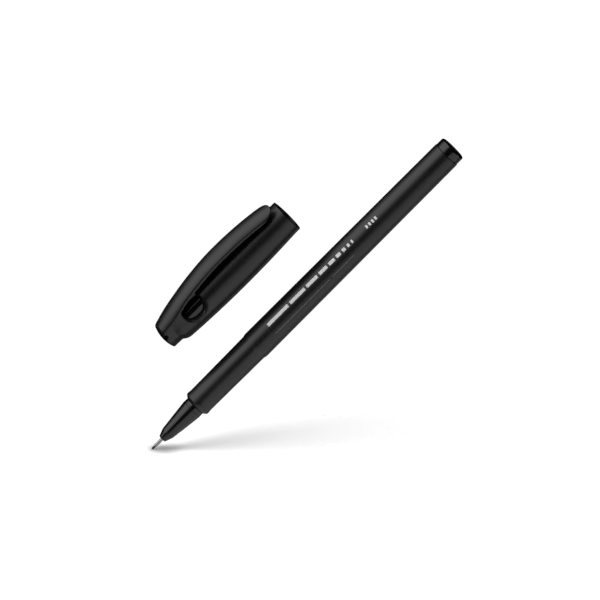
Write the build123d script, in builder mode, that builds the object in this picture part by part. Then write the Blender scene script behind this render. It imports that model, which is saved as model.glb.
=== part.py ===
from build123d import *
from math import acos, asin, atan2, cos, degrees, hypot, radians, sin, sqrt
import os

# A fineliner pen lying on a table, with its cap taken off and laid beside it.
# Millimetres. The origin is the writing point, +X runs along the pen to its rear end,
# +Y points across to the cap and +Z is up.

# Lengths along the pen, from the writing point to the rear end
point_length = 1.3
sleeve_reach = 3.15
nose_chamfer_length = 2.5
nose_cone_length = 10.8
nose_collar_length = 1.6
grip_length = 25.45
shoulder_length = 1.55
barrel_length = 84.4
plug_length = 3.15

# Radii along the pen
point_tip_r = 0.2
nib_r = 0.42
nose_front_r = 1.22
nose_shoulder_r = 2.19
nose_cone_r = 3.45
nose_collar_r = 3.38
grip_front_r = 4.375
grip_bead_rise = 0.125
grip_bead_length = 2.5
grip_rear_r = 4.61
barrel_front_r = 4.865
barrel_rear_r = 4.62
barrel_rear_rounding = 0.18
plug_r = 4.44
plug_rounding = 0.75
seam_chamfer = 0.12

# Inside the pen
barrel_wall = 0.86
nose_spigot_step = 0.28
nose_spigot_length = 12.0
sleeve_wall = 0.13
sleeve_hold = 8.0
wick_r = 1.2
nib_in_wick = 2.5
wick_in_reservoir = 6.0
film_thickness = 0.12
plug_spigot_length = 4.75
plug_wall = 0.9
plug_floor = 1.5
push_gap = 0.02
reservoir_gap = 0.05

# Cap, measured back from its mouth
cap_slip = 0.1
cap_mouth_wall = 0.95
cap_belly_rise = 0.64
cap_belly_x = 23.4
cap_shoulder_drop = 0.8
cap_step_length = 3.15
cap_stub_length = 3.35
cap_stub_r = 4.2
cap_stub_draft = 0.1
cap_stub_rounding = 0.3
cap_dome = 0.75
cap_rim_rounding = 0.25
cap_rim_chamfer = 0.2
cap_stop_gap = 0.8
cap_flange_step = 0.3
cap_hollow_step = 0.5
cap_end_thickness = 6.3

# Inner sleeve of the cap, which closes round the nose
liner_flange = 1.2
liner_slip = 0.15
liner_gap = 0.1
liner_draft = 0.3
liner_point_gap = 1.05
liner_end_wall = 1.0
liner_socket_depth = 2.1

# Side opening in the cap wall at the root of the clip
window_r = 3.95
window_floor = 0.55
window_from_end = 13.1
window_slant = 51.0
window_reach = 6.0

# Clip, an arched leaf with a crowned section
clip_angle = 45.0
clip_crest_gap = 3.4
clip_tip_rise = 2.88
clip_tip_back = 1.3
clip_tip_length = 5.5
clip_half_width = 3.4
clip_root_half_width = 2.75
clip_crown = 1.2
clip_thickness = 1.45
clip_edge = 0.75
clip_root_back = 1.1
clip_flare_length = 8.0
clip_gap = 0.1
knuckle_r = 1.0
knuckle_half_length = 2.0
knuckle_back = 2.3
knuckle_cover = 0.9
knuckle_height = 3.63
bead_r = 1.3
bead_back = 5.6
bead_gap = 0.3
root_skin = 0.12
root_overlap = 0.5
root_foot_turn = 65.0

# Where the cap lies beside the pen
cap_set_back = 35.45
cap_offset = 21.72


def arc_radius(run, rise):
    return (run**2 + rise**2) / (2 * rise)


def arc_drop(radius, run):
    return radius - sqrt(radius**2 - run**2)


# Stations and radii that follow from the sizes above
nose_x = point_length + sleeve_reach
nose_shoulder_x = nose_x + nose_chamfer_length
nose_collar_x = nose_shoulder_x + nose_cone_length
grip_x = nose_collar_x + nose_collar_length
grip_end_x = grip_x + grip_length
shoulder_x = grip_end_x + shoulder_length
plug_x = shoulder_x + barrel_length
rear_x = plug_x + plug_length
grip_taper = (grip_rear_r - grip_front_r) / (grip_length - grip_bead_length)
barrel_taper = (barrel_rear_r - barrel_front_r) / barrel_length

sleeve_bore_r = nib_r + push_gap
sleeve_r = sleeve_bore_r + sleeve_wall
sleeve_end_x = nose_x + sleeve_hold
spigot_r = nose_collar_r - nose_spigot_step
spigot_end_x = grip_x + nose_spigot_length
bore_r = grip_front_r - barrel_wall
film_r = bore_r - reservoir_gap
reservoir_r = film_r - film_thickness
reservoir_x = spigot_end_x
reservoir_end_x = plug_x - plug_spigot_length
wick_end_x = reservoir_x + wick_in_reservoir
pen_axis = Axis.X

# Barrel: grip, shoulder and tapered body in one moulding
with BuildPart() as barrel:
    with BuildSketch(Plane.XZ):
        with BuildLine():
            front = (grip_x, (spigot_r + grip_front_r) / 2)
            bead_end = (grip_x + grip_bead_length, grip_front_r)
            bead_top = (grip_x + grip_bead_length / 2, grip_front_r + grip_bead_rise)
            Line((grip_x, spigot_r + push_gap), front)
            Spline(front, bead_top, bead_end, tangents=[(0, 1), (1, grip_taper)])
            Line(bead_end, (grip_end_x, grip_rear_r))
            Spline(
                (grip_end_x, grip_rear_r),
                (shoulder_x, barrel_front_r),
                tangents=[(1, grip_taper), (1, barrel_taper)],
            )
            Line((shoulder_x, barrel_front_r), (plug_x, barrel_rear_r))
            Line((plug_x, barrel_rear_r), (plug_x, bore_r))
            Line((plug_x, bore_r), (spigot_end_x, bore_r))
            Line((spigot_end_x, bore_r), (spigot_end_x, spigot_r + push_gap))
            Line((spigot_end_x, spigot_r + push_gap), (grip_x, spigot_r + push_gap))
        make_face()
    revolve(axis=pen_axis)
    rear_rims = barrel.edges().filter_by(GeomType.CIRCLE).group_by(Axis.X)[-1]
    fillet(rear_rims.sort_by(SortBy.RADIUS)[-1], barrel_rear_rounding)
barrel.part.label = "barrel"

# Nose: glossy cone pushed into the front of the barrel, with its collar against the grip
with BuildPart() as nose_cone:
    with BuildSketch(Plane.XZ):
        with BuildLine():
            Polyline(
                (nose_x, sleeve_r + push_gap),
                (nose_x, nose_front_r),
                (nose_shoulder_x, nose_shoulder_r),
                (nose_collar_x, nose_cone_r),
                (nose_collar_x, nose_collar_r),
                (grip_x - seam_chamfer, nose_collar_r),
                (grip_x, nose_collar_r - seam_chamfer),
                (grip_x, spigot_r),
                (spigot_end_x, spigot_r),
                (spigot_end_x, wick_r + push_gap),
                (sleeve_end_x, wick_r + push_gap),
                (sleeve_end_x, sleeve_r + push_gap),
                close=True,
            )
        make_face()
    revolve(axis=pen_axis)
nose_cone.part.label = "nose_cone"

# Stainless sleeve round the nib, held in the nose
with BuildPart() as nib_sleeve:
    with BuildSketch(Plane.XZ):
        with BuildLine():
            Polyline(
                (point_length, sleeve_bore_r),
                (point_length, sleeve_r - sleeve_wall / 2),
                (point_length + sleeve_wall / 2, sleeve_r),
                (sleeve_end_x, sleeve_r),
                (sleeve_end_x, sleeve_bore_r),
                close=True,
            )
        make_face()
    revolve(axis=pen_axis)
nib_sleeve.part.label = "nib_sleeve"

# Writing nib: a rod with a tapered, rounded point
with BuildPart() as writing_nib:
    with BuildSketch(Plane.XZ):
        with BuildLine():
            tip_side = (point_tip_r, point_tip_r)
            tip_mid = (point_tip_r * (1 - cos(radians(45))), point_tip_r * sin(radians(45)))
            ThreePointArc((0, 0), tip_mid, tip_side)
            Polyline(
                tip_side,
                (point_length, nib_r),
                (sleeve_end_x + nib_in_wick, nib_r),
                (sleeve_end_x + nib_in_wick, 0),
                (0, 0),
            )
        make_face()
    revolve(axis=pen_axis)
writing_nib.part.label = "writing_nib"

# Fibre wick that carries ink from the reservoir to the nib
with BuildPart() as feed_wick:
    with BuildSketch(Plane.XZ):
        with BuildLine():
            Polyline(
                (sleeve_end_x, nib_r + push_gap),
                (sleeve_end_x, wick_r),
                (wick_end_x, wick_r),
                (wick_end_x, 0),
                (sleeve_end_x + nib_in_wick, 0),
                (sleeve_end_x + nib_in_wick, nib_r + push_gap),
                close=True,
            )
        make_face()
    revolve(axis=pen_axis)
feed_wick.part.label = "feed_wick"

# Fibre ink reservoir, between the nose and the tail plug
with BuildPart() as ink_reservoir:
    with BuildSketch(Plane.XZ):
        with BuildLine():
            Polyline(
                (reservoir_x, wick_r + push_gap),
                (reservoir_x, reservoir_r),
                (reservoir_end_x, reservoir_r),
                (reservoir_end_x, 0),
                (wick_end_x, 0),
                (wick_end_x, wick_r + push_gap),
                close=True,
            )
        make_face()
    revolve(axis=pen_axis)
ink_reservoir.part.label = "ink_reservoir"

# Film wrapped round the reservoir
with BuildPart() as reservoir_film:
    with BuildSketch(Plane.XZ):
        with BuildLine():
            Polyline(
                (reservoir_x, reservoir_r + push_gap),
                (reservoir_x, film_r),
                (reservoir_end_x, film_r),
                (reservoir_end_x, reservoir_r + push_gap),
                close=True,
            )
        make_face()
    revolve(axis=pen_axis)
reservoir_film.part.label = "reservoir_film"

# Glossy plug pushed into the rear of the barrel
plug_spigot_r = bore_r - push_gap
with BuildPart() as tail_plug:
    with BuildSketch(Plane.XZ):
        with BuildLine():
            Polyline(
                (reservoir_end_x, plug_spigot_r - plug_wall),
                (reservoir_end_x, plug_spigot_r),
                (plug_x, plug_spigot_r),
                (plug_x, plug_r - seam_chamfer),
                (plug_x + seam_chamfer, plug_r),
                (rear_x, plug_r),
                (rear_x, 0),
                (rear_x - plug_floor, 0),
                (rear_x - plug_floor, plug_spigot_r - plug_wall),
                close=True,
            )
        make_face()
    revolve(axis=pen_axis)
    end_rim = tail_plug.edges().filter_by(GeomType.CIRCLE).group_by(Axis.X)[-1]
    fillet(end_rim, plug_rounding)
tail_plug.part.label = "tail_plug"

# Cap sizes that follow from the pen that it closes
cap_bore_r = grip_rear_r + cap_slip
cap_mouth_r = cap_bore_r + cap_mouth_wall
cap_belly_r = cap_mouth_r + cap_belly_rise
cap_shoulder_r = cap_belly_r - cap_shoulder_drop
cap_flange_x = grip_length + shoulder_length + cap_stop_gap
cap_flange_r = cap_bore_r - cap_flange_step
cap_hollow_x = cap_flange_x + liner_flange
cap_hollow_r = cap_bore_r - cap_hollow_step
liner_sleeve_r = cap_hollow_r - liner_gap
liner_inside_x = shoulder_x + liner_point_gap
liner_end_x = liner_inside_x + liner_end_wall
cap_hollow_end_x = liner_end_x - liner_socket_depth
cap_length = liner_end_x + cap_end_thickness
cap_stub_x = cap_length - cap_dome - cap_stub_length
cap_shoulder_x = cap_stub_x - cap_step_length
belly_front_arc = arc_radius(cap_belly_x, cap_belly_rise)
belly_rear_run = cap_shoulder_x - cap_belly_x
belly_rear_arc = arc_radius(belly_rear_run, cap_shoulder_drop)
belly_rear_slope = belly_rear_run / sqrt(belly_rear_arc**2 - belly_rear_run**2)


def belly_radius(back):
    if back < cap_belly_x:
        return cap_belly_r - arc_drop(belly_front_arc, cap_belly_x - back)
    return cap_belly_r - arc_drop(belly_rear_arc, back - cap_belly_x)


# The cap's own frame: x out of the mouth, y towards the clip, z across it.
# The cap lies on the same table as the barrel.
cap_mouth = (shoulder_x + cap_set_back, cap_offset, cap_belly_r - barrel_front_r)
across_clip = (0, -sin(radians(clip_angle)), cos(radians(clip_angle)))
cap_frame = Plane(origin=cap_mouth, x_dir=(1, 0, 0), z_dir=across_clip)
cap_axis = Axis(cap_frame.origin, cap_frame.x_dir)

# Clip curve: two arcs that meet at the crest, one to the root and one to the tip
clip_crest_x = cap_belly_x
clip_crest_y = cap_belly_r + clip_crest_gap + clip_thickness
clip_tip_y = cap_mouth_r + clip_tip_rise
knuckle_x = cap_length - knuckle_back
clip_root_y = knuckle_height + knuckle_r + knuckle_cover
clip_root_end_x = cap_length - clip_root_back
root_arc = arc_radius(knuckle_x - clip_crest_x, clip_crest_y - clip_root_y)
tip_arc = arc_radius(clip_crest_x - clip_tip_back, clip_crest_y - clip_tip_y)
root_turn = degrees(asin((clip_root_end_x + clip_gap - clip_crest_x) / root_arc))
tip_turn = degrees(asin((clip_crest_x - clip_tip_back) / tip_arc))
crest_plane = Plane(
    origin=cap_frame.from_local_coords(Vector(-clip_crest_x, 0, 0)),
    x_dir=cap_frame.z_dir,
    z_dir=-cap_frame.x_dir,
)
plan_plane = Plane(origin=cap_mouth, x_dir=cap_frame.x_dir, z_dir=-cap_frame.y_dir)
root_axis = Axis(
    cap_frame.from_local_coords(Vector(-clip_crest_x, clip_crest_y - root_arc, 0)),
    cap_frame.z_dir,
)
tip_axis = Axis(
    cap_frame.from_local_coords(Vector(-clip_crest_x, clip_crest_y - tip_arc, 0)),
    -cap_frame.z_dir,
)
knuckle_plane = Plane(
    origin=cap_frame.from_local_coords(Vector(-knuckle_x, knuckle_height, 0)),
    x_dir=cap_frame.x_dir,
    z_dir=cap_frame.z_dir,
)
clip_edge_y = clip_crest_y - clip_crown
clip_under_y = clip_edge_y - clip_edge
clip_middle_y = clip_crest_y - clip_thickness

# Clip: crowned leaf on a knuckle at the closed end, with a bead under its tip
with BuildPart() as cap_clip:
    with BuildSketch(crest_plane) as clip_section:
        with BuildLine():
            ThreePointArc(
                (-clip_half_width, clip_edge_y), (0, clip_crest_y), (clip_half_width, clip_edge_y)
            )
            Line((clip_half_width, clip_edge_y), (clip_half_width, clip_under_y))
            ThreePointArc(
                (clip_half_width, clip_under_y), (0, clip_middle_y), (-clip_half_width, clip_under_y)
            )
            Line((-clip_half_width, clip_under_y), (-clip_half_width, clip_edge_y))
        make_face()
    revolve(axis=root_axis, revolution_arc=root_turn)
    revolve(clip_section.sketch, axis=tip_axis, revolution_arc=tip_turn)
    with BuildSketch(plan_plane):
        with BuildLine():
            Polyline(
                (-clip_root_end_x, -clip_root_half_width),
                (-clip_root_end_x + clip_flare_length, -clip_half_width),
                (-clip_tip_back - clip_tip_length, -clip_half_width),
            )
            EllipticalCenterArc(
                (-clip_tip_back - clip_tip_length, 0),
                clip_tip_length,
                clip_half_width,
                start_angle=-90,
                arc_size=180,
            )
            Polyline(
                (-clip_tip_back - clip_tip_length, clip_half_width),
                (-clip_root_end_x + clip_flare_length, clip_half_width),
                (-clip_root_end_x, clip_root_half_width),
                (-clip_root_end_x, -clip_root_half_width),
            )
        make_face()
    extrude(amount=-(clip_crest_y + clip_thickness), mode=Mode.INTERSECT)
    with BuildSketch(knuckle_plane):
        Circle(knuckle_r)
    extrude(amount=knuckle_half_length, both=True)
    bead_y = belly_radius(bead_back) + bead_gap + bead_r
    with Locations(cap_frame.from_local_coords(Vector(-bead_back, bead_y, 0))):
        Sphere(bead_r)
cap_clip.part.label = "cap_clip"

# Room that the clip's root takes out of the cap
with BuildPart() as clip_room:
    with BuildSketch(crest_plane):
        room_half_width = cap_belly_r + clip_half_width
        with BuildLine():
            ThreePointArc(
                (clip_half_width, clip_under_y - clip_gap),
                (0, clip_middle_y - clip_gap),
                (-clip_half_width, clip_under_y - clip_gap),
            )
            Polyline(
                (-clip_half_width, clip_under_y - clip_gap),
                (-room_half_width, clip_under_y - clip_gap),
                (-room_half_width, clip_crest_y + clip_thickness),
                (room_half_width, clip_crest_y + clip_thickness),
                (room_half_width, clip_under_y - clip_gap),
                (clip_half_width, clip_under_y - clip_gap),
            )
        make_face()
    revolve(axis=root_axis, revolution_arc=root_turn + degrees(clip_root_back / root_arc))
    with BuildSketch(plan_plane):
        with Locations((-clip_root_end_x - clip_gap, 0)):
            Rectangle(clip_root_end_x, 3 * room_half_width, align=(Align.MIN, Align.CENTER))
    extrude(amount=-(clip_crest_y + 2 * clip_thickness), mode=Mode.INTERSECT)
    with BuildSketch(knuckle_plane):
        Circle(knuckle_r + clip_gap)
    extrude(amount=knuckle_half_length + clip_gap, both=True)


def root_section(back, body_r):
    # Leaf edges joined to the round body by flanks that just dip under its skin
    run = back - clip_crest_x
    share = min(1, (clip_root_end_x - back) / clip_flare_length)
    half_width = clip_root_half_width + share * (clip_half_width - clip_root_half_width)
    top = clip_middle_y + root_overlap - arc_drop(root_arc, run)
    edge = clip_under_y - arc_drop(root_arc, run)
    reach = hypot(half_width, edge)
    foot_r = body_r - root_skin
    tangent_turn = atan2(half_width, edge) + acos(min(1, foot_r / reach))
    foot_turn = max(tangent_turn, radians(root_foot_turn))
    foot = (foot_r * sin(foot_turn), foot_r * cos(foot_turn))
    right = [(half_width, top), (half_width, edge), foot]
    return right + [(-z, y) for z, y in reversed(right)]


# Cap shell: bellied tube with a stepped, domed end, the clip's root and the side window
with BuildPart() as cap_shell:
    with BuildSketch(cap_frame) as cap_profile:
        with BuildLine():
            belly_front_mid = cap_belly_x / 2
            belly_rear_mid = (cap_belly_x + cap_shoulder_x) / 2
            stub_end = (-(cap_length - cap_dome), cap_stub_r - cap_stub_draft)
            dome_arc = arc_radius(stub_end[1], cap_dome)
            dome_mid = (-(cap_length - arc_drop(dome_arc, stub_end[1] / 2)), stub_end[1] / 2)
            ThreePointArc(
                (0, cap_mouth_r), (-belly_front_mid, belly_radius(belly_front_mid)), (-cap_belly_x, cap_belly_r)
            )
            ThreePointArc(
                (-cap_belly_x, cap_belly_r),
                (-belly_rear_mid, belly_radius(belly_rear_mid)),
                (-cap_shoulder_x, cap_shoulder_r),
            )
            Spline(
                (-cap_shoulder_x, cap_shoulder_r),
                (-cap_stub_x, cap_stub_r),
                tangents=[(-1, -belly_rear_slope), (-1, -cap_stub_draft / cap_stub_length)],
            )
            Line((-cap_stub_x, cap_stub_r), stub_end)
            ThreePointArc(stub_end, dome_mid, (-cap_length, 0))
            Line((-cap_length, 0), (0, 0))
            Line((0, 0), (0, cap_mouth_r))
        make_face()
        fillet(cap_profile.vertices().sort_by_distance((0, cap_mouth_r))[0], cap_rim_rounding)
        fillet(cap_profile.vertices().sort_by_distance(stub_end)[0], cap_stub_rounding)
    revolve(axis=cap_axis)
    root_stations = [
        (cap_length - cap_dome - cap_stub_rounding, cap_stub_r - cap_stub_draft),
        (cap_stub_x, cap_stub_r),
        (cap_shoulder_x, cap_shoulder_r),
        (cap_length - window_from_end - window_r * cos(radians(window_slant)), cap_shoulder_r),
    ]
    for back, body_r in root_stations:
        station = Plane(
            origin=cap_frame.from_local_coords(Vector(-back, 0, 0)),
            x_dir=cap_frame.z_dir,
            z_dir=-cap_frame.x_dir,
        )
        with BuildSketch(station):
            with BuildLine():
                Polyline(*root_section(back, body_r), close=True)
            make_face()
    loft(ruled=True)
    with BuildSketch(cap_frame):
        with BuildLine():
            socket_r = liner_sleeve_r + push_gap
            Polyline(
                (0, 0),
                (0, cap_bore_r + cap_rim_chamfer),
                (-cap_rim_chamfer, cap_bore_r),
                (-cap_flange_x, cap_bore_r),
                (-cap_flange_x, cap_flange_r),
                (-cap_hollow_x, cap_flange_r),
                (-cap_hollow_x, cap_hollow_r),
                (-cap_hollow_end_x, cap_hollow_r),
                (-cap_hollow_end_x, socket_r),
                (-liner_end_x, socket_r),
                (-liner_end_x, 0),
                close=True,
            )
        make_face()
    revolve(axis=cap_axis, mode=Mode.SUBTRACT)
    with BuildSketch(cap_frame):
        window_x = -(cap_length - window_from_end)
        with Locations((window_x, window_floor + window_r)):
            SlotCenterPoint(
                (0, 0),
                (window_reach * cos(radians(window_slant)), window_reach * sin(radians(window_slant))),
                2 * window_r,
            )
    extrude(amount=2 * cap_belly_r, both=True, mode=Mode.SUBTRACT)
    add(clip_room.part, mode=Mode.SUBTRACT)
cap_shell.part.label = "cap_shell"

# Cap liner: inner sleeve that closes round the nose and the point
liner_bore_r = nose_cone_r + liner_slip
with BuildPart() as cap_liner:
    with BuildSketch(cap_frame):
        with BuildLine():
            Polyline(
                (-cap_flange_x, liner_bore_r),
                (-cap_flange_x, cap_flange_r - push_gap),
                (-cap_hollow_x, cap_flange_r - push_gap),
                (-cap_hollow_x, liner_sleeve_r),
                (-liner_end_x, liner_sleeve_r),
                (-liner_end_x, 0),
                (-liner_inside_x, 0),
                (-liner_inside_x, liner_bore_r - liner_draft),
                close=True,
            )
        make_face()
    revolve(axis=cap_axis)
cap_liner.part.label = "cap_liner"

os.makedirs("parts", exist_ok=True)
for piece in [
    barrel,
    nose_cone,
    nib_sleeve,
    writing_nib,
    feed_wick,
    ink_reservoir,
    reservoir_film,
    tail_plug,
    cap_shell,
    cap_liner,
    cap_clip,
]:
    export_step(piece.part, f"parts/{piece.part.label}.step")
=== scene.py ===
import bmesh
import bpy
import math
import numpy as np
from mathutils import Matrix, Vector


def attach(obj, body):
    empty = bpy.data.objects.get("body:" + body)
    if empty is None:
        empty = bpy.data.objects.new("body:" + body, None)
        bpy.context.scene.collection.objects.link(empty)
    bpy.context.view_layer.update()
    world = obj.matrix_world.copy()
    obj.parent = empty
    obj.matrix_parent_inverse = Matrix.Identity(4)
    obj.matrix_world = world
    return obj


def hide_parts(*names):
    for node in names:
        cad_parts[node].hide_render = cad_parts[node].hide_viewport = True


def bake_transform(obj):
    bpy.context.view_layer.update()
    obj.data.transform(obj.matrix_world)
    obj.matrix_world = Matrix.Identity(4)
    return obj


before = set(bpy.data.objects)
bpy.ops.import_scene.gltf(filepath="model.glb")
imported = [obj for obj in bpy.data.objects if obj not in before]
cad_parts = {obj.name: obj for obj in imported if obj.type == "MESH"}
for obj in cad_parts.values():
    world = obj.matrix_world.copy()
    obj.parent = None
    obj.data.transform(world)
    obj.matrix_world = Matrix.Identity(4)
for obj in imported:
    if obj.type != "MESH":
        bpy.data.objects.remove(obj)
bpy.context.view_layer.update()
mm = 0.001
scene = bpy.context.scene
scene.view_settings.view_transform = "Standard"
print("frame loaded with", len(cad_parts), "nodes")


# Small helpers

def linear(hexColour):
    # sRGB hex to linear light
    parts = [int(hexColour[i:i + 2], 16) / 255 for i in (1, 3, 5)]
    return tuple(c / 12.92 if c <= 0.04045 else ((c + 0.055) / 1.055) ** 2.4 for c in parts) + (1.0,)


def addNode(tree, kind, inputs={}, **settings):
    # an input is a value, or another node's output to link
    node = tree.nodes.new(kind)
    for name, value in settings.items():
        setattr(node, name, value)
    for name, value in inputs.items():
        if isinstance(value, bpy.types.NodeSocket):
            tree.links.new(value, node.inputs[name])
        else:
            node.inputs[name].default_value = value
    return node


def startMaterial(name):
    material = bpy.data.materials.new(name)
    material.use_nodes = True
    material.node_tree.nodes.clear()
    return material, material.node_tree


def linkObject(name, mesh, material):
    mesh.materials.clear()
    mesh.materials.append(material)
    piece = bpy.data.objects.new(name, mesh)
    scene.collection.objects.link(piece)
    return piece


def makePlain(piece):
    # the shape that the modifiers give becomes the piece's own mesh
    mesh = bpy.data.meshes.new_from_object(piece.evaluated_get(bpy.context.evaluated_depsgraph_get()))
    piece.modifiers.clear()
    piece.data = mesh
    return mesh


def smoothStep(low, high, value):
    share = np.clip((value - low) / (high - low), 0, 1)
    return share * share * (3 - 2 * share)


# Materials: sizes and depths of their patterns are in millimetres

noiseRange = (0.3, 0.7)   # nearly all of a noise lies between these


def plasticMaterial(name, look):
    # the surface's grain as bump, with broad soft changes of tint and gloss from flow and handling
    material, tree = startMaterial(name)
    place = addNode(tree, "ShaderNodeTexCoord").outputs["Object"]
    grain = addNode(tree, "ShaderNodeTexNoise",
                    {"Vector": place, "Scale": 1 / (look["grainSize"] * mm), "Detail": 2.0})
    flow = addNode(tree, "ShaderNodeTexNoise",
                   {"Vector": place, "Scale": 1 / (look["flowSize"] * mm), "Detail": 3.0})
    rough = addNode(tree, "ShaderNodeMapRange",
                    {"Value": flow.outputs["Fac"], "From Min": noiseRange[0], "From Max": noiseRange[1],
                     "To Min": look["roughness"] - look["roughSpread"],
                     "To Max": look["roughness"] + look["roughSpread"]})
    tint = addNode(tree, "ShaderNodeMix",
                   {"Factor": flow.outputs["Fac"], "A": linear(look["colour"]),
                    "B": linear(look["colourWorn"])}, data_type="RGBA")
    bump = addNode(tree, "ShaderNodeBump",
                   {"Height": grain.outputs["Fac"], "Strength": look["grainStrength"],
                    "Distance": look["grainDepth"] * mm})
    shader = addNode(tree, "ShaderNodeBsdfPrincipled",
                     {"Base Color": tint.outputs["Result"], "Roughness": rough.outputs["Result"],
                      "Normal": bump.outputs["Normal"], "IOR": look["ior"]})
    addNode(tree, "ShaderNodeOutputMaterial", {"Surface": shader.outputs["BSDF"]})
    return material


# a satin mould gives soft broad highlights; its grain is drawn coarser than real so that it shows
satinLook = {"colour": "#0e0e0e", "colourWorn": "#111111", "ior": 1.49,
             "roughness": 0.36, "roughSpread": 0.02, "flowSize": 9.0,
             "grainSize": 0.25, "grainDepth": 0.004, "grainStrength": 0.25}
satinBlack = plasticMaterial("moulded polypropylene, satin", satinLook)

# a polished mould gives tighter, deeper reflections with a faint wave
glossLook = {"colour": "#070707", "colourWorn": "#090909", "ior": 1.49,
             "roughness": 0.17, "roughSpread": 0.03, "flowSize": 5.0,
             "grainSize": 1.6, "grainDepth": 0.004, "grainStrength": 0.12}
glossBlack = plasticMaterial("moulded polypropylene, polished", glossLook)

# smooth polyethylene gives thin bright lines along the round liner
linerLook = {"colour": "#08080a", "colourWorn": "#0b0b0d", "ior": 1.49,
             "roughness": 0.12, "roughSpread": 0.03, "flowSize": 4.0,
             "grainSize": 0.3, "grainDepth": 0.004, "grainStrength": 0.25}
linerBlack = plasticMaterial("moulded polyethylene liner", linerLook)

# acetal soaked in ink is black with a dull, uneven sheen; its grain is drawn coarser so that it shows
nibLook = {"colour": "#050506", "colourWorn": "#0a0a0b", "ior": 1.48,
           "roughness": 0.4, "roughSpread": 0.08, "flowSize": 0.6,
           "grainSize": 0.12, "grainDepth": 0.006, "grainStrength": 0.4}
nibBlack = plasticMaterial("extruded acetal nib, ink-soaked", nibLook)

# wet fibre is dark and matte with a rough nap, drawn coarser than real fibres so that it shows
fibreLook = {"colour": "#0b0b14", "colourWorn": "#1c1c2a", "ior": 1.5,
             "roughness": 0.85, "roughSpread": 0.08, "flowSize": 2.0,
             "grainSize": 0.15, "grainDepth": 0.05, "grainStrength": 0.8}
inkFibre = plasticMaterial("polyester fibre, ink-soaked", fibreLook)

# thin film is pale with a soft shine and slight wrinkles
filmLook = {"colour": "#c8c8cc", "colourWorn": "#dcdce0", "ior": 1.5,
            "roughness": 0.25, "roughSpread": 0.05, "flowSize": 6.0,
            "grainSize": 2.0, "grainDepth": 0.02, "grainStrength": 0.3}
wrapFilm = plasticMaterial("extruded film wrap", filmLook)

waveBands = 3.2   # bands that a wave texture draws in each unit of its scale


def steelMaterial(name, look):
    # rings round the tube as bump, with a change of gloss from ring to ring
    material, tree = startMaterial(name)
    place = addNode(tree, "ShaderNodeTexCoord").outputs["Object"]
    rings = addNode(tree, "ShaderNodeTexWave",
                    {"Vector": place, "Scale": 1 / (look["ringPitch"] * mm) / waveBands,
                     "Distortion": look["ringWander"], "Detail": 2.0},
                    wave_type="BANDS", bands_direction="X")
    bump = addNode(tree, "ShaderNodeBump",
                   {"Height": rings.outputs["Fac"], "Strength": look["ringStrength"],
                    "Distance": look["ringDepth"] * mm})
    rough = addNode(tree, "ShaderNodeMapRange",
                    {"Value": rings.outputs["Fac"], "To Min": look["roughness"] - look["roughSpread"],
                     "To Max": look["roughness"] + look["roughSpread"]})
    shader = addNode(tree, "ShaderNodeBsdfPrincipled",
                     {"Base Color": linear(look["colour"]), "Metallic": 1.0,
                      "Roughness": rough.outputs["Result"], "Normal": bump.outputs["Normal"]})
    addNode(tree, "ShaderNodeOutputMaterial", {"Surface": shader.outputs["BSDF"]})
    return material


# a drawn tube mirrors in lines along it, blurred by turned rings, which are drawn coarser so that they show
steelLook = {"colour": "#9d9ea0", "roughness": 0.1, "roughSpread": 0.04,
             "ringPitch": 0.12, "ringDepth": 0.003, "ringStrength": 0.15, "ringWander": 1.5}
drawnSteel = steelMaterial("drawn stainless steel", steelLook)


def inkMaterial(name, look):
    material, tree = startMaterial(name)
    place = addNode(tree, "ShaderNodeTexCoord").outputs["Object"]
    cover = addNode(tree, "ShaderNodeTexNoise",
                    {"Vector": place, "Scale": 1 / (look["coverSize"] * mm), "Detail": 3.0})
    tint = addNode(tree, "ShaderNodeMix",
                   {"Factor": cover.outputs["Fac"], "A": linear(look["colourThin"]),
                    "B": linear(look["colour"])}, data_type="RGBA")
    shader = addNode(tree, "ShaderNodeBsdfPrincipled",
                     {"Base Color": tint.outputs["Result"], "Roughness": look["roughness"]})
    addNode(tree, "ShaderNodeOutputMaterial", {"Surface": shader.outputs["BSDF"]})
    return material


# pad-printed ink gives a flat tone that is a little uneven where it is thin
whiteLook = {"colour": "#f4f4f4", "colourThin": "#d6d6d6", "coverSize": 0.3, "roughness": 0.55}
greyLook = {"colour": "#7c7c7e", "colourThin": "#606062", "coverSize": 0.3, "roughness": 0.55}
whiteInk = inkMaterial("pad-printed white ink", whiteLook)
greyInk = inkMaterial("pad-printed grey ink", greyLook)
print("materials made")


# Turned pieces: an outline of (x, radius) in millimetres, spun round the x axis

turning = {"steps": 144, "merge": 0.0005, "sharpAngle": 30.0}


def roundCorners(corners, steps=8):
    # a corner with a third number is rounded to that radius
    points = []
    for i, corner in enumerate(corners):
        here = Vector(corner[:2])
        if len(corner) == 2:
            points.append(here)
            continue
        radius = corner[2]
        before = (Vector(corners[i - 1][:2]) - here).normalized()
        after = (Vector(corners[i + 1][:2]) - here).normalized()
        half = before.angle(after) / 2
        centre = here + (before + after).normalized() * radius / math.sin(half)
        start = here + before * radius / math.tan(half) - centre
        end = here + after * radius / math.tan(half) - centre
        points += [centre + start.slerp(end, step / steps) * radius for step in range(steps + 1)]
    return [tuple(point) for point in points]


def bend(startX, startR, endX, endR, steps=16):
    # smooth step from one radius to another
    shares = [step / steps for step in range(steps + 1)]
    return [(startX + (endX - startX) * share, startR + (endR - startR) * float(smoothStep(0, 1, share)))
            for share in shares]


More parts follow.
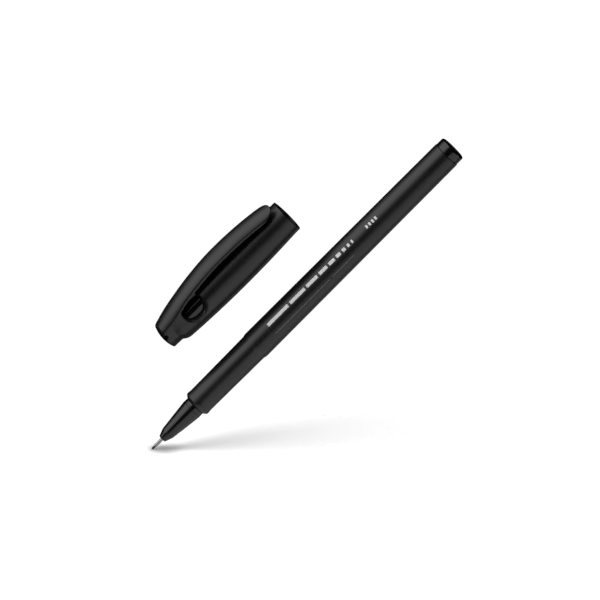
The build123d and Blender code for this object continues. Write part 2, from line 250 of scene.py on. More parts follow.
def turn(name, outline, material, place=Matrix.Identity(4)):
    mesh = bpy.data.meshes.new(name)
    edges = [(i, i + 1) for i in range(len(outline) - 1)]
    mesh.from_pydata([(x * mm, 0, radius * mm) for x, radius in outline], edges, [])
    piece = linkObject(name, mesh, material)
    spin = piece.modifiers.new("spin", "SCREW")
    spin.axis = "X"
    spin.steps = spin.render_steps = turning["steps"]
    spin.use_merge_vertices = True
    spin.merge_threshold = turning["merge"] * mm
    solid = makePlain(piece)
    work = bmesh.new()
    work.from_mesh(solid)
    bmesh.ops.remove_doubles(work, verts=work.verts, dist=turning["merge"] * mm)
    bmesh.ops.recalc_face_normals(work, faces=work.faces)
    for face in work.faces:
        face.smooth = True
    work.to_mesh(solid)
    work.free()
    solid.transform(place)
    solid.set_sharp_from_angle(angle=math.radians(turning["sharpAngle"]))
    return piece


# Nib and sleeve, from the writing point at x 0

nib = {"point": 1.3, "tipR": 0.3, "tipFlat": 0.05, "radius": 0.42, "heldR": 0.41,
       "neckRounding": 0.8, "inWick": 2.5}
sleeve = {"reach": 3.15, "hold": 8.0, "radius": 0.6, "heldR": 0.595, "boreR": 0.44, "edgeRounding": 0.06}
noseX = nib["point"] + sleeve["reach"]
sleeveEndX = noseX + sleeve["hold"]
nibEndX = sleeveEndX + nib["inWick"]
nibOutline = roundCorners([
    (0, 0), (0, nib["tipR"] + nib["tipFlat"], nib["tipR"]),
    (nib["point"], nib["radius"], nib["neckRounding"]), (nibEndX, nib["heldR"]), (nibEndX, 0)])
sleeveOutline = roundCorners([
    (nib["point"], sleeve["boreR"]), (nib["point"], sleeve["radius"], sleeve["edgeRounding"]),
    (sleeveEndX, sleeve["heldR"]), (sleeveEndX, sleeve["boreR"]), (nib["point"], sleeve["boreR"])])


# Nose: a cone and its collar, with a ring groove between them and a V seam in front of the grip

nose = {"chamfer": 2.5, "cone": 10.8, "collar": 1.6, "spigot": 12.0,
        "frontR": 1.22, "shoulderR": 2.19, "coneR": 3.44, "collarR": 3.38, "spigotR": 3.03, "boreR": 1.22,
        "frontRounding": 0.12, "shoulderRounding": 1.4, "edgeRounding": 0.06,
        "groove": 0.1, "grooveDepth": 0.04, "seam": 0.24, "seamFloor": 0.05}
noseShoulderX = noseX + nose["chamfer"]
collarX = noseShoulderX + nose["cone"]
gripX = collarX + nose["collar"]
spigotEndX = gripX + nose["spigot"]
noseOutline = roundCorners([
    (noseX, sleeve["radius"]), (noseX, nose["frontR"], nose["frontRounding"]),
    (noseShoulderX, nose["shoulderR"], nose["shoulderRounding"]),
    (collarX - nose["groove"], nose["coneR"], nose["edgeRounding"]),
    (collarX, nose["collarR"] - nose["grooveDepth"]),
    (collarX + nose["groove"], nose["collarR"], nose["edgeRounding"]),
    (gripX - nose["seam"], nose["collarR"], nose["edgeRounding"]),
    (gripX - nose["seamFloor"], nose["spigotR"]), (gripX, nose["spigotR"]),
    (spigotEndX, nose["spigotR"]), (spigotEndX, nose["boreR"]),
    (sleeveEndX, nose["boreR"]), (sleeveEndX, sleeve["radius"]), (noseX, sleeve["radius"])])


# Barrel: a bevelled lip with a faint bead, the grip, a shoulder and the tapered body

barrel = {"bevel": 0.65, "bevelDrop": 0.06, "bead": 2.5, "grip": 25.45, "shoulder": 1.55, "body": 84.4,
          "faceR": 3.7, "beadR": 4.5, "gripFrontR": 4.375, "gripRearR": 4.61,
          "bodyFrontR": 4.865, "bodyRearR": 4.62, "boreR": 3.515, "spigotBoreR": 3.05,
          "lipRounding": 0.4, "rearRounding": 0.18}
beadX = gripX + barrel["bead"] / 2
gripEndX = gripX + barrel["grip"]
shoulderX = gripEndX + barrel["shoulder"]
plugX = shoulderX + barrel["body"]
bevelR = barrel["beadR"] - barrel["bevelDrop"]
frontLip = roundCorners([
    (gripX, barrel["faceR"]), (gripX + barrel["bevel"], bevelR, barrel["lipRounding"]),
    (beadX, barrel["beadR"])])
rearEdge = roundCorners([
    (shoulderX, barrel["bodyFrontR"]), (plugX, barrel["bodyRearR"], barrel["rearRounding"]),
    (plugX, barrel["boreR"])])
barrelOutline = [(gripX, barrel["spigotBoreR"])] + frontLip
barrelOutline += bend(beadX, barrel["beadR"], gripX + barrel["bead"], barrel["gripFrontR"])[1:]
barrelOutline += bend(gripEndX, barrel["gripRearR"], shoulderX, barrel["bodyFrontR"]) + rearEdge[1:]
barrelOutline += [(spigotEndX, barrel["boreR"]), (spigotEndX, barrel["spigotBoreR"]),
                  (gripX, barrel["spigotBoreR"])]


# Tail plug: a hollow spigot in the barrel and a rounded end behind a bevelled seam

plug = {"length": 2.97, "floor": 1.5, "spigot": 4.75, "radius": 4.46, "spigotR": 3.495, "boreR": 2.595,
        "seam": 0.12, "seamRounding": 0.08, "rounding": 0.7}
rearX = plugX + plug["length"]
plugFloorX = rearX - plug["floor"]
plugFrontX = plugX - plug["spigot"]
plugOutline = roundCorners([
    (plugFloorX, 0), (plugFloorX, plug["boreR"]), (plugFrontX, plug["boreR"]), (plugFrontX, plug["spigotR"]),
    (plugX, plug["spigotR"]), (plugX, plug["radius"] - plug["seam"]),
    (plugX + plug["seam"], plug["radius"], plug["seamRounding"]), (rearX, plug["radius"], plug["rounding"]),
    (rearX, 0)])

turnedPieces = [("penBarrel", barrelOutline, satinBlack, "barrel", "satin_black"),
                ("penNose", noseOutline, glossBlack, "nose_cone", "gloss_black"),
                ("nibSleeve", sleeveOutline, drawnSteel, "nib_sleeve", "steel"),
                ("writingNib", nibOutline, nibBlack, "writing_nib", "nib_black"),
                ("tailPlug", plugOutline, glossBlack, "tail_plug", "gloss_black")]
for name, outline, material, node, slotName in turnedPieces:
    piece = turn(name, outline, material)
    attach(piece, "pen")
    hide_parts(node)
print("pen turned")


# Cap: x runs out of its mouth, y towards the clip and z across it; back is how far behind the mouth

# pairs of numbers say where, behind the mouth, a change starts and ends
cap = {
    "mouth": (81.8, 21.72, 1.435), "clipAngle": 45.0, "length": 54.75, "dome": 0.82, "mouthLip": 0.15,
    "mouthR": 5.66, "bellyR": 6.3, "bellyBack": 23.4,
    "shoulderR": 5.5, "shoulderBack": 47.3, "shoulderFall": 0.076, "shoulderPower": 2.4,
    "stubR": 4.2, "stubBack": 50.85, "stubDraft": 0.03, "stubRounding": 0.25,
    "boreR": 4.71, "boreDepth": 27.8, "hollowR": 4.21, "hollowDepth": 46.3, "edgeRounding": 0.12,
    "rootFront": 42.0, "rootLow": 0.5, "rootOverlap": 0.2, "rootRounding": 0.3, "endRounding": 0.35,
    "windowBack": 41.1, "windowHeight": 4.3, "windowR": 3.65,
    "windowSoft": {"below": 0.4, "rear": 0.8, "front": 2.0},
    "windowRear": (42.5, 44.5), "windowFront": (41, 37.5),
    "notch": (53.5, 3.05, 3.35), "notchR": 0.72, "notchDepth": 1.4, "notchRounding": 0.15}
clip = {
    "crestBack": 23.4, "crest": 11.2, "rootFall": 0.011, "rootPower": 1.84, "tipFall": 0.0053,
    "tipBack": 1.3, "tipLength": 5.5, "tipBlunt": 2.4,
    "halfWidth": 3.42, "rootNarrow": 0.6, "narrowing": (47.5, 54.5),
    "crownR": 5.5, "rootCrown": 1.46, "crowning": (36, 46), "crownLimit": 0.9,
    "underR": 11.9, "thickness": 1.45, "tipThickness": 0.58, "thickening": (1, 8),
    "flankInset": 0.03, "flankDrop": 0.05, "flankProud": 0.02, "rooting": (40, 45),
    "edgeSoft": {"tip": 0.37, "middle": 0.62, "root": 0.12}, "softening": (28, 36), "sharpening": (40, 46),
    "endLip": 0.03, "endRounding": 0.6, "underRounding": 0.3,
    "beadBack": 5.6, "beadR": 1.3, "beadGap": 0.3, "beadRounding": 0.6,
    "bendStart": 45.6, "bendEnd": 38.0}
turnClip = math.radians(cap["clipAngle"])
capFrame = Matrix(((1, 0, 0, cap["mouth"][0] * mm),
                   (0, math.cos(turnClip), -math.sin(turnClip), cap["mouth"][1] * mm),
                   (0, math.sin(turnClip), math.cos(turnClip), cap["mouth"][2] * mm),
                   (0, 0, 0, 1)))
tiny = 1e-9   # keeps a division from zero


def arcRadius(run, rise):
    return (run * run + rise * rise) / (2 * rise)


def arcDrop(radius, run):
    return radius - np.sqrt(np.maximum(radius * radius - run * run, 0))


def slopeOf(profile, back, probe=0.05):
    return (profile(back + probe) - profile(back - probe)) / (2 * probe)


def roundMax(one, other, width):
    # larger of two distances, with the corner between them rounded off
    near = np.maximum(width - np.abs(one - other), 0) / width
    return np.maximum(one, other) + near * near * width / 4


def roundMin(one, other, width):
    return -roundMax(-one, -other, width)


def capRadius(back):
    frontArc = arcRadius(cap["bellyBack"], cap["bellyR"] - cap["mouthR"])
    rearArc = arcRadius(cap["shoulderBack"] - cap["bellyBack"], cap["bellyR"] - cap["shoulderR"])
    run = back - cap["bellyBack"]
    belly = cap["bellyR"] - np.where(run < 0, arcDrop(frontArc, run), arcDrop(rearArc, run))
    fall = cap["shoulderFall"] * np.maximum(back - cap["shoulderBack"], 0) ** cap["shoulderPower"]
    stub = cap["stubR"] - cap["stubDraft"] * (back - cap["stubBack"])
    return roundMax(belly - fall, stub, cap["stubRounding"])


def endDome(back, y, z):
    arc = arcRadius(cap["stubR"], cap["dome"])
    return np.sqrt(np.maximum(back - cap["length"] + arc, 0) ** 2 + y * y + z * z) - arc


def clipHeight(back):
    run = back - clip["crestBack"]
    rootFall = clip["rootFall"] * np.abs(run) ** clip["rootPower"]
    return clip["crest"] - np.where(run > 0, rootFall, clip["tipFall"] * run * run)


def clipHalfWidth(back):
    return clip["halfWidth"] - clip["rootNarrow"] * smoothStep(*clip["narrowing"], back)


def crownRadius(back):
    rootR = clip["rootCrown"] * clipHalfWidth(back)
    return clip["crownR"] + (rootR - clip["crownR"]) * smoothStep(*clip["crowning"], back)


def clipUnder(back, z):
    growth = (clip["thickness"] - clip["tipThickness"]) * smoothStep(*clip["thickening"], back)
    return clipHeight(back) - (clip["tipThickness"] + growth) - arcDrop(clip["underR"], z)


def flankField(back, y, z):
    # flat flank that leans from just inside the clip's edge onto the round body
    halfWidth = clipHalfWidth(back) - clip["flankInset"]
    edge = clipHeight(back) - arcDrop(crownRadius(back), halfWidth) - clip["flankDrop"]
    tangent = np.arccos(np.clip(capRadius(back) / np.hypot(halfWidth, edge), -1, 1))
    lean = np.arctan2(halfWidth, edge) + tangent
    return np.abs(z) * np.sin(lean) + y * np.cos(lean) - capRadius(back)


def notchField(back, y, z):
    # small blind hole on each side, where the clip's end meets the stub
    notchBack, notchY, notchZ = cap["notch"]
    up, out = y - notchY, np.abs(z) - notchZ
    deep = np.clip(-(up + out) / 2, 0, cap["notchDepth"] * math.sqrt(0.5))
    return np.sqrt((back - notchBack) ** 2 + (up + deep) ** 2 + (out + deep) ** 2) - cap["notchR"]


def clipField(x, y, z):
    back = -x
    tilt = np.sqrt(1 + slopeOf(clipHeight, back) ** 2)
    crownR = crownRadius(back)
    crown = np.clip(z, -clip["crownLimit"] * crownR, clip["crownLimit"] * crownR)
    lean = crown / np.sqrt(crownR ** 2 - crown ** 2)
    top = (y - clipHeight(back) + arcDrop(crownR, crown)) / np.sqrt(tilt ** 2 + lean ** 2)
    under = (clipUnder(back, z) - y) / tilt
    # seen from above, the clip has straight sides and a blunt round tip
    along = np.maximum(x + clip["tipBack"] + clip["tipLength"], 0) / clip["tipLength"]
    across = np.abs(z) / clipHalfWidth(back)
    blunt = clip["tipBlunt"]
    reach = (along ** blunt + across ** blunt) ** (1 / blunt) + tiny
    slopeAlong = (along / reach) ** (blunt - 1) / clip["tipLength"]
    slopeAcross = (across / reach) ** (blunt - 1) / clipHalfWidth(back)
    plan = (reach - 1) / np.sqrt(slopeAlong ** 2 + slopeAcross ** 2 + tiny)
    # its sides turn into the flanks at the root
    rooted = smoothStep(*clip["rooting"], back)
    side = plan * (1 - rooted) + (flankField(back, y, z) - clip["flankProud"]) * rooted
    soft = clip["edgeSoft"]
    edgeSoft = soft["tip"] + (soft["middle"] - soft["tip"]) * smoothStep(*clip["softening"], back)
    edgeSoft = edgeSoft + (soft["root"] - soft["middle"]) * smoothStep(*clip["sharpening"], back)
    leaf = roundMax(top, side, edgeSoft)
    leaf = roundMax(leaf, endDome(back, y, z) - clip["endLip"], clip["endRounding"])
    leaf = roundMax(leaf, under, clip["underRounding"])
    leaf = roundMax(leaf, -notchField(back, y, z), cap["notchRounding"])
    beadHeight = capRadius(clip["beadBack"]) + clip["beadGap"] + clip["beadR"]
    bead = np.sqrt((back - clip["beadBack"]) ** 2 + (y - beadHeight) ** 2 + z * z) - clip["beadR"]
    return roundMin(leaf, bead, clip["beadRounding"])


def shellField(x, y, z):
    back = -x
    radius = np.hypot(y, z)
    body = (radius - capRadius(back)) / np.sqrt(1 + slopeOf(capRadius, back) ** 2)
    # under the clip's root the body is filled out to the flanks
    root = np.maximum.reduce([flankField(back, y, z), y - clipUnder(back, z) - cap["rootOverlap"],
                              cap["rootLow"] - y, cap["rootFront"] - back])
    outer = roundMin(body, root, cap["rootRounding"])
    outer = roundMax(outer, endDome(back, y, z), cap["endRounding"])
    outer = roundMax(outer, x - cap["mouthLip"], cap["edgeRounding"])
    outer = roundMax(outer, -notchField(back, y, z), cap["notchRounding"])
    # the window's edge is crisp below and softer at both ends
    soft = cap["windowSoft"]
    windowSoft = soft["below"] + (soft["rear"] - soft["below"]) * smoothStep(*cap["windowRear"], back)
    windowSoft = windowSoft + (soft["front"] - soft["below"]) * smoothStep(*cap["windowFront"], back)
    window = np.hypot(x + cap["windowBack"], y - cap["windowHeight"]) - cap["windowR"]
    outer = roundMax(outer, -window, windowSoft)
    bore = np.where(back < cap["boreDepth"], cap["boreR"], cap["hollowR"])
    inside = np.maximum(radius - bore, back - cap["hollowDepth"])
    return roundMax(outer, -inside, cap["edgeRounding"])


net = {"pulls": 6, "longestPull": 0.4, "leastSteep": 0.05, "nudge": 0.01}


def netMesh(name, field, grid, material):
    # a grid of distances, one point for each cell that the surface crosses, then pulled onto the surface
    step = grid["step"]
    axes = [np.arange(low, high + step, step) for low, high in zip(grid["low"], grid["high"])]
    spots = np.stack(np.meshgrid(*axes, indexing="ij"), -1)
    value = field(spots[..., 0], spots[..., 1], spots[..., 2])
    cells = np.array(value.shape) - 1

    def corner(offset):
        return tuple(slice(first, first + size) for first, size in zip(offset, cells))

    total = np.zeros((*cells, 3))
    count = np.zeros(cells)
    for axis in range(3):
        for side in ((0, 0), (0, 1), (1, 0), (1, 1)):
            start = corner(side[:axis] + (0,) + side[axis:])
            end = corner(side[:axis] + (1,) + side[axis:])
            crossed = (value[start] < 0) != (value[end] < 0)
            drop = np.where(crossed, value[start] - value[end], 1)
            point = spots[start].copy()
            point[..., axis] += step * np.where(crossed, value[start] / drop, 0)
            total += point * crossed[..., None]
            count += crossed
    used = count > 0
    index = np.full(tuple(cells), -1)
    index[used] = np.arange(used.sum())
    points = total[used] / count[used][:, None]

    # a face joins the four cells round each grid edge that the surface crosses
    faces = []
    inside = value < 0
    for axis in range(3):
        nextAxis, lastAxis = (axis + 1) % 3, (axis + 2) % 3
        low = [slice(1, size) for size in cells]
        high = list(low)
        low[axis], high[axis] = slice(0, cells[axis]), slice(1, cells[axis] + 1)
        leaving = inside[tuple(low)] & ~inside[tuple(high)]
        entering = ~inside[tuple(low)] & inside[tuple(high)]
        ring = []
        for nextBack, lastBack in ((1, 1), (0, 1), (0, 0), (1, 0)):
            part = [None] * 3
            part[axis] = slice(0, cells[axis])
            part[nextAxis] = slice(1 - nextBack, cells[nextAxis] - nextBack)
            part[lastAxis] = slice(1 - lastBack, cells[lastAxis] - lastBack)
            ring.append(index[tuple(part)])
        ring = np.stack(ring, -1)
        faces += [ring[leaving], ring[entering][:, ::-1]]
    faces = np.concatenate(faces)

    nudges = np.eye(3) * net["nudge"]
    longest = net["longestPull"] * step
    for pull in range(net["pulls"]):
        here = field(*points.T)
        slope = np.stack([(field(*(points + nudge).T) - field(*(points - nudge).T)) / (2 * net["nudge"])
                          for nudge in nudges], -1)
        steep = np.maximum((slope ** 2).sum(-1), net["leastSteep"])
        points = points - np.clip(here / steep, -longest, longest)[:, None] * slope
    normals = slope / np.linalg.norm(slope, axis=1, keepdims=True)

    mesh = bpy.data.meshes.new(name)
    mesh.from_pydata((points * mm).tolist(), [], faces.tolist())
    mesh.transform(capFrame)
    turned = (np.array(capFrame.to_3x3()) @ normals.T).T
    mesh.polygons.foreach_set("use_smooth", np.ones(len(mesh.polygons), bool))
    mesh.normals_split_custom_set_from_vertices(turned.tolist())
    mesh.update()
    print(name, "has", len(mesh.polygons), "faces")
    return linkObject(name, mesh, material)


shellGrid = {"low": (-55.05, -6.75, -6.75), "high": (0.55, 8.0, 6.75), "step": 0.25}
capShell = netMesh("capShell", shellField, shellGrid, satinBlack)
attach(capShell, "cap")
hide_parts("cap_shell")

clipGrid = {"low": (-55.05, 1.5, -3.9), "high": (-0.85, 11.6, 3.9), "step": 0.2}
capClip = netMesh("capClip", clipField, clipGrid, satinBlack)
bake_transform(capClip)
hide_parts("cap_clip")

liner = {"flangeBack": 27.8, "flange": 1.2, "flangeR": 4.39, "sleeveR": 4.11, "boreR": 3.6, "boreEndR": 3.3,
         "insideBack": 47.4, "endBack": 48.4, "mouthRounding": 0.15, "endRounding": 0.3}
flangeX = -liner["flangeBack"]
flangeEndX = flangeX - liner["flange"]
linerOutline = roundCorners([
    (-liner["insideBack"], 0), (-liner["insideBack"], liner["boreEndR"]),
    (flangeX, liner["boreR"], liner["mouthRounding"]), (flangeX, liner["flangeR"], liner["mouthRounding"]),
    (flangeEndX, liner["flangeR"]), (flangeEndX, liner["sleeveR"]),
    (-liner["endBack"], liner["sleeveR"], liner["endRounding"]), (-liner["endBack"], 0)])
capLiner = turn("capLiner", linerOutline, linerBlack, capFrame)
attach(capLiner, "cap")
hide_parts("cap_liner")
print("cap made")


# Pieces that stay inside the barrel keep their solids and get their own finish

for node, material in (("feed_wick", inkFibre), ("ink_reservoir", inkFibre), ("reservoir_film", wrapFilm)):
    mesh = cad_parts[node].data
    mesh.materials.clear()
    mesh.materials.append(material)


# Plain print on the barrel: rows of bars that shrink towards the rear, wrapped round the taper

def printTree():
    tree = bpy.data.node_groups.new("printed bars", "GeometryNodeTree")
    sockets = {"Count": "Int", "First Length": "Float", "Shrink": "Float", "Gap": "Float", "Height": "Float",
               "Start": "Float", "Turn": "Float", "Front Radius": "Float", "Front": "Float", "Taper": "Float",
               "Ink": "Material"}
    inputs = {}
    for name, kind in sockets.items():
        socket = tree.interface.new_socket(name, in_out="INPUT", socket_type="NodeSocket" + kind)
        inputs[name] = socket.identifier
    tree.interface.new_socket("Geometry", in_out="OUTPUT", socket_type="NodeSocketGeometry")
    given = addNode(tree, "NodeGroupInput").outputs

    # a bar's length, and the sum of those before it
    # equal bars have no such sum, so that their gap runs from start to start
    number = addNode(tree, "GeometryNodeInputIndex").outputs[0]
    first, shrink = given["First Length"], given["Shrink"]
    share = addNode(tree, "ShaderNodeMath", {0: shrink, 1: number}, operation="POWER").outputs[0]
    length = addNode(tree, "ShaderNodeMath", {0: first, 1: share}, operation="MULTIPLY").outputs[0]
    gone = addNode(tree, "ShaderNodeMath", {0: 1.0, 1: share}, operation="SUBTRACT").outputs[0]
    spent = addNode(tree, "ShaderNodeMath", {0: first, 1: gone}, operation="MULTIPLY").outputs[0]
    justOverOne = 1.00001   # so that equal bars don't divide by zero
    left = addNode(tree, "ShaderNodeMath", {0: justOverOne, 1: shrink}, operation="SUBTRACT").outputs[0]
    before = addNode(tree, "ShaderNodeMath", {0: spent, 1: left}, operation="DIVIDE").outputs[0]

    # the bars in a row, on the flat
    start = addNode(tree, "ShaderNodeMath", {0: given["Start"], 1: before}, operation="ADD").outputs[0]
    gaps = addNode(tree, "ShaderNodeMath", {0: given["Gap"], 1: number}, operation="MULTIPLY").outputs[0]
    toMiddle = addNode(tree, "ShaderNodeMath", {0: length, 1: 0.5, 2: gaps},
                       operation="MULTIPLY_ADD").outputs[0]
    along = addNode(tree, "ShaderNodeMath", {0: start, 1: toMiddle}, operation="ADD").outputs[0]
    row = addNode(tree, "GeometryNodeMeshLine", {"Count": given["Count"]})
    spot = addNode(tree, "ShaderNodeCombineXYZ", {"X": along})
    placed = addNode(tree, "GeometryNodeSetPosition",
                     {"Geometry": row.outputs["Mesh"], "Position": spot.outputs[0]})
    bar = addNode(tree, "GeometryNodeMeshGrid",
                  {"Size X": 1.0, "Size Y": 1.0, "Vertices X": 3, "Vertices Y": 9})
    size = addNode(tree, "ShaderNodeCombineXYZ", {"X": length, "Y": given["Height"], "Z": 1.0})
    bars = addNode(tree, "GeometryNodeInstanceOnPoints",
                   {"Points": placed.outputs[0], "Instance": bar.outputs["Mesh"], "Scale": size.outputs[0]})
    flat = addNode(tree, "GeometryNodeRealizeInstances", {"Geometry": bars.outputs[0]})

    # wrapped round the barrel
    position = addNode(tree, "GeometryNodeInputPosition").outputs[0]
    where = addNode(tree, "ShaderNodeSeparateXYZ", {"Vector": position}).outputs
    run = addNode(tree, "ShaderNodeMath", {0: where["X"], 1: given["Front"]}, operation="SUBTRACT").outputs[0]
    radius = addNode(tree, "ShaderNodeMath", {0: given["Taper"], 1: run, 2: given["Front Radius"]},
                     operation="MULTIPLY_ADD").outputs[0]
    arc = addNode(tree, "ShaderNodeMath", {0: where["Y"], 1: radius}, operation="DIVIDE").outputs[0]
    angle = addNode(tree, "ShaderNodeMath", {0: given["Turn"], 1: arc}, operation="ADD").outputs[0]
    sine = addNode(tree, "ShaderNodeMath", {0: angle}, operation="SINE").outputs[0]
    cosine = addNode(tree, "ShaderNodeMath", {0: angle}, operation="COSINE").outputs[0]
    sideways = addNode(tree, "ShaderNodeMath", {0: radius, 1: sine}, operation="MULTIPLY").outputs[0]
    upwards = addNode(tree, "ShaderNodeMath", {0: radius, 1: cosine}, operation="MULTIPLY").outputs[0]
    wrapped = addNode(tree, "ShaderNodeCombineXYZ", {"X": where["X"], "Y": sideways, "Z": upwards})
    curved = addNode(tree, "GeometryNodeSetPosition",
                     {"Geometry": flat.outputs[0], "Position": wrapped.outputs[0]})
    done = addNode(tree, "GeometryNodeSetMaterial", {"Geometry": curved.outputs[0], "Material": given["Ink"]})
    addNode(tree, "NodeGroupOutput", {"Geometry": done.outputs[0]})
    return tree, inputs


printRows = {
    "printLong": {"Count": 9, "First Length": 9.0, "Shrink": 0.72, "Gap": 0.9, "Height": 1.15,
                  "Start": 53.5, "Turn": 21.0, "Ink": whiteInk},
    "printThin": {"Count": 2, "First Length": 24.0, "Shrink": 0.4, "Gap": 1.2, "Height": 0.28,
                  "Start": 53.5, "Turn": -22.0, "Ink": greyInk},
    "printTicks": {"Count": 4, "First Length": 0.7, "Shrink": 1.0, "Gap": 1.3, "Height": 1.15,
                   "Start": 97.0, "Turn": 21.0, "Ink": whiteInk}}
printLift = 0.02   # off the barrel, so that the two surfaces don't mix
barsTree, barsInput = printTree()
for name, row in printRows.items():
    piece = linkObject(name, bpy.data.meshes.new(name), row["Ink"])
    rows = piece.modifiers.new("bars", "NODES")
    rows.node_group = barsTree
    for key in ("First Length", "Gap", "Height", "Start"):
        rows[barsInput[key]] = row[key] * mm
    for key in ("Count", "Shrink", "Ink"):
        rows[barsInput[key]] = row[key]
    rows[barsInput["Turn"]] = math.radians(row["Turn"])
    rows[barsInput["Front Radius"]] = (barrel["bodyFrontR"] + printLift) * mm
    rows[barsInput["Front"]] = shoulderX * mm
    rows[barsInput["Taper"]] = (barrel["bodyRearR"] - barrel["bodyFrontR"]) / barrel["body"]
    makePlain(piece)
    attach(piece, "pen")
print("print wrapped")


# Camera: straight down on the pen, rolled so that it runs corner to corner, tipped to show the rear end

def axesAt(place, *axes):
    # frame at a place, from its three axes
    return Matrix.Translation(place) @ Matrix(axes).transposed().to_4x4()


view = {"tip": 5.3, "roll": 45.0, "width": 187.5, "aim": (65.9, 0.22, 0), "distance": 900, "farthest": 10000}
tip = math.radians(view["tip"])
roll = math.radians(view["roll"])
alongPen = Vector((math.cos(tip), 0, -math.sin(tip)))
acrossPen = Vector((0, 1, 0))
toViewer = Vector((math.sin(tip), 0, math.cos(tip)))
right = alongPen * math.cos(roll) - acrossPen * math.sin(roll)
up = alongPen * math.sin(roll) + acrossPen * math.cos(roll)
aim = Vector(view["aim"]) * mm
camera = bpy.data.objects.new("camera", bpy.data.cameras.new("camera"))
scene.collection.objects.link(camera)
camera.data.type = "ORTHO"
camera.data.ortho_scale = view["width"] * mm
camera.data.clip_end = view["farthest"] * mm
camera.matrix_world = axesAt(aim + toViewer * view["distance"] * mm, right, up, toViewer)
scene.camera = camera
print("camera set")


# Studio: a white floor at the pen's point, two softboxes on its left, and a card for what the edges mirror

def addSheet(name, low, high, place, material):
    # flat rectangle between two corners
    mesh = bpy.data.meshes.new(name)
    corners = [(low[0], low[1], 0), (high[0], low[1], 0), (high[0], high[1], 0), (low[0], high[1], 0)]
    mesh.from_pydata(corners, [], [(0, 1, 2, 3)])
    mesh.transform(place)
    return linkObject(name, mesh, material)


floorLook = {
    "tilt": 16.0, "size": 1400, "drop": 0.1,
    # darkColour, darkEnd and mirrorGlow paint the floor that the pieces mirror: glowing, and dark past the
    # point
    "colour": "#f0f0f0", "darkColour": "#181818", "mirrorGlow": 0.43, "darkEnd": (-14, 9),
    "shown": 1.6,   # over 1, so that the floor reads white in the dim room
    "shadowGlow": 0.2,
    # the contact values set a painted contact shadow in the floor's colour near the point
    "contact": 8, "contactFrom": 0.86, "contactTone": 0.25, "contactFade": (3, 13),
    "shadowMiddle": (40, 16, 0), "shadowTurn": 21.0, "shadowReach": (68, 19, 19), "clear": (0.75, 1.0)}


def floorMaterial(look, floorFrame):
    material, tree = startMaterial("white floor")
    rays = addNode(tree, "ShaderNodeLightPath").outputs
    place = addNode(tree, "ShaderNodeTexCoord").outputs["Object"]
    # painted reflection and shade: to every ray but the camera's, the floor's colour fades to dark past the
    # point, and to mirrored rays it glows with the same fade
    ahead = addNode(tree, "ShaderNodeSeparateXYZ", {"Vector": place})
    fade = addNode(tree, "ShaderNodeMapRange",
                   {"Value": ahead.outputs["X"], "From Min": look["darkEnd"][0] * mm,
                    "From Max": look["darkEnd"][1] * mm}, interpolation_type="SMOOTHSTEP").outputs["Result"]
    tone = addNode(tree, "ShaderNodeMix",
                   {"Factor": fade, "A": linear(look["darkColour"]), "B": linear(look["colour"])},
                   data_type="RGBA")
    mirrored = addNode(tree, "ShaderNodeMath",
                       {0: rays["Is Glossy Ray"], 1: rays["Is Transmission Ray"]}, operation="MAXIMUM")
    lit = addNode(tree, "ShaderNodeMath", {0: fade, 1: look["mirrorGlow"]}, operation="MULTIPLY")
    mirrorLit = addNode(tree, "ShaderNodeMath",
                        {0: mirrored.outputs[0], 1: lit.outputs[0]}, operation="MULTIPLY")
    glow = addNode(tree, "ShaderNodeMix",
                   {"Factor": rays["Is Camera Ray"], "A": mirrorLit.outputs[0], "B": look["shadowGlow"]})
    light = addNode(tree, "ShaderNodeEmission", {"Strength": glow.outputs["Result"]})
    # a painted contact shadow: ambient occlusion darkens the floor's colour near the point, and the darkening
    # fades out away from it
    near = addNode(tree, "ShaderNodeAmbientOcclusion", {"Distance": look["contact"] * mm})
    reachOut = addNode(tree, "ShaderNodeVectorMath", {0: place}, operation="LENGTH")
    least = addNode(tree, "ShaderNodeMapRange",
                    {"Value": reachOut.outputs["Value"], "From Min": look["contactFade"][0] * mm,
                     "From Max": look["contactFade"][1] * mm, "To Min": look["contactTone"] * look["shown"],
                     "To Max": look["shown"]}, interpolation_type="SMOOTHSTEP")
    touch = addNode(tree, "ShaderNodeMapRange",
                    {"Value": near.outputs["AO"], "From Min": look["contactFrom"],
                     "To Min": least.outputs["Result"], "To Max": look["shown"]})
    shown = addNode(tree, "ShaderNodeMix",
                    {"Factor": rays["Is Camera Ray"], "A": tone.outputs["Result"],
                     "B": touch.outputs["Result"]}, data_type="RGBA")
    paper = addNode(tree, "ShaderNodeBsdfDiffuse", {"Color": shown.outputs["Result"]})
    both = addNode(tree, "ShaderNodeAddShader", {0: light.outputs[0], 1: paper.outputs[0]})
    # past the shadow the white world shows in its place, so that no edge shows and the cap can slide through
    shadowFrame = floorFrame @ Matrix.Rotation(math.radians(look["shadowTurn"]), 4, "Z")
    zone = addNode(tree, "ShaderNodeMapping",
                   {"Vector": place, "Location": floorFrame @ (Vector(look["shadowMiddle"]) * mm),
                    "Rotation": shadowFrame.to_euler(), "Scale": Vector(look["shadowReach"]) * mm},
                   vector_type="TEXTURE")
    outside = addNode(tree, "ShaderNodeVectorMath", {0: zone.outputs["Vector"]}, operation="LENGTH")
    clear = addNode(tree, "ShaderNodeMapRange",
                    {"Value": outside.outputs["Value"], "From Min": look["clear"][0],
                     "From Max": look["clear"][1]}, interpolation_type="SMOOTHSTEP")
    clearSeen = addNode(tree, "ShaderNodeMath",
                        {0: clear.outputs["Result"], 1: rays["Is Camera Ray"]}, operation="MULTIPLY")
    behind = addNode(tree, "ShaderNodeNewGeometry").outputs["Backfacing"]
    unseen = addNode(tree, "ShaderNodeMath", {0: clearSeen.outputs[0], 1: behind}, operation="MAXIMUM")
    away = addNode(tree, "ShaderNodeBsdfTransparent")
    whole = addNode(tree, "ShaderNodeMixShader",
                    {0: unseen.outputs[0], 1: both.outputs[0], 2: away.outputs[0]})
    addNode(tree, "ShaderNodeOutputMaterial", {"Surface": whole.outputs[0]})
    return material


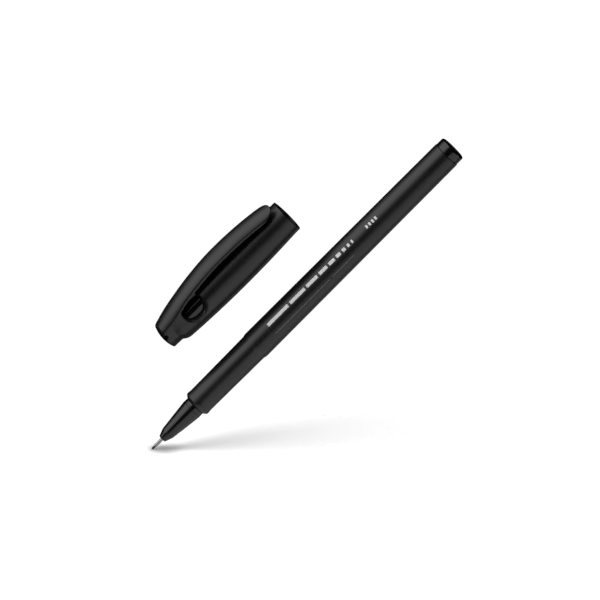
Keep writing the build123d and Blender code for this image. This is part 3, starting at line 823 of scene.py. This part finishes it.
tilt = math.radians(floorLook["tilt"])
floorUp = up * math.cos(tilt) + toViewer * math.sin(tilt)
floorBack = up * math.sin(tilt) - toViewer * math.cos(tilt)
floorFrame = axesAt(Vector(), right, floorBack, floorUp)
floorPlace = axesAt(-floorUp * floorLook["drop"] * mm, right, floorBack, floorUp)
half = floorLook["size"] / 2 * mm
floor = addSheet("floor", (-half, -half), (half, half), floorPlace, floorMaterial(floorLook, floorFrame))
floor.visible_shadow = False   # light reaches the cap past it too

# a wide sheet of light and its brighter middle
lampLooks = ({"turn": 65.0, "distance": 700, "length": 2000, "width": 1250, "power": 5.5},
             {"turn": 61.0, "distance": 680, "length": 2000, "width": 690, "power": 5.2})
for look in lampLooks:
    lampTurn = math.radians(look["turn"])
    lampSide = toViewer * math.cos(lampTurn) + acrossPen * math.sin(lampTurn)
    lampData = bpy.data.lights.new("softbox", "AREA")
    lampData.shape = "RECTANGLE"
    lampData.size = look["length"] * mm
    lampData.size_y = look["width"] * mm
    lampData.energy = look["power"]
    lamp = bpy.data.objects.new("softbox", lampData)
    scene.collection.objects.link(lamp)
    lampPlace = aim + lampSide * look["distance"] * mm
    lamp.matrix_world = axesAt(lampPlace, alongPen, lampSide.cross(alongPen), lampSide)

cardLook = {"back": 4, "lean": 24.0, "size": 1000, "glow": 0.28, "greySide": (14, -12), "greyEnd": (139, 134)}


def cardMaterial(look):
    # painted reflection: a card that glows black on the cap's side, and grey on the other as far as the pen's
    # rear end
    material, tree = startMaterial("card, black on the cap's side and grey on the other")
    place = addNode(tree, "ShaderNodeTexCoord").outputs["Object"]
    where = addNode(tree, "ShaderNodeSeparateXYZ", {"Vector": place}).outputs
    side = addNode(tree, "ShaderNodeMapRange",
                   {"Value": where["Y"], "From Min": look["greySide"][0] * mm,
                    "From Max": look["greySide"][1] * mm, "To Max": look["glow"]},
                   interpolation_type="SMOOTHSTEP")
    end = addNode(tree, "ShaderNodeMapRange",
                  {"Value": where["X"], "From Min": look["greyEnd"][0] * mm,
                   "From Max": look["greyEnd"][1] * mm}, interpolation_type="SMOOTHSTEP")
    grey = addNode(tree, "ShaderNodeMath",
                   {0: side.outputs["Result"], 1: end.outputs["Result"]}, operation="MULTIPLY")
    paintedReflectionGlow = addNode(tree, "ShaderNodeEmission", {"Strength": grey.outputs[0]})
    addNode(tree, "ShaderNodeOutputMaterial", {"Surface": paintedReflectionGlow.outputs[0]})
    return material


lean = math.radians(cardLook["lean"])
cardUp = up * math.cos(lean) - toViewer * math.sin(lean)
cardPlace = axesAt(-toViewer * cardLook["back"] * mm, right, cardUp, right.cross(cardUp))
half = cardLook["size"] / 2 * mm
card = addSheet("card", (-half, 0), (half, half), cardPlace, cardMaterial(cardLook))
card.visible_camera = False   # it only sets what the edges mirror
card.visible_shadow = card.visible_diffuse = False

# the world is a white sheet to the camera, and a dim room to everything else
worldLook = {"room": "#323232", "roomStrength": 0.5, "sheet": "#ffffff", "sheetStrength": 1.03}
world = bpy.data.worlds.new("studio")
scene.world = world
world.use_nodes = True
tree = world.node_tree
tree.nodes.clear()
rays = addNode(tree, "ShaderNodeLightPath").outputs
room = addNode(tree, "ShaderNodeBackground",
               {"Color": linear(worldLook["room"]), "Strength": worldLook["roomStrength"]})
sheet = addNode(tree, "ShaderNodeBackground",
                {"Color": linear(worldLook["sheet"]), "Strength": worldLook["sheetStrength"]})
pick = addNode(tree, "ShaderNodeMixShader",
               {0: rays["Is Camera Ray"], 1: room.outputs[0], 2: sheet.outputs[0]})
addNode(tree, "ShaderNodeOutputWorld", {"Surface": pick.outputs[0]})
print("studio set")
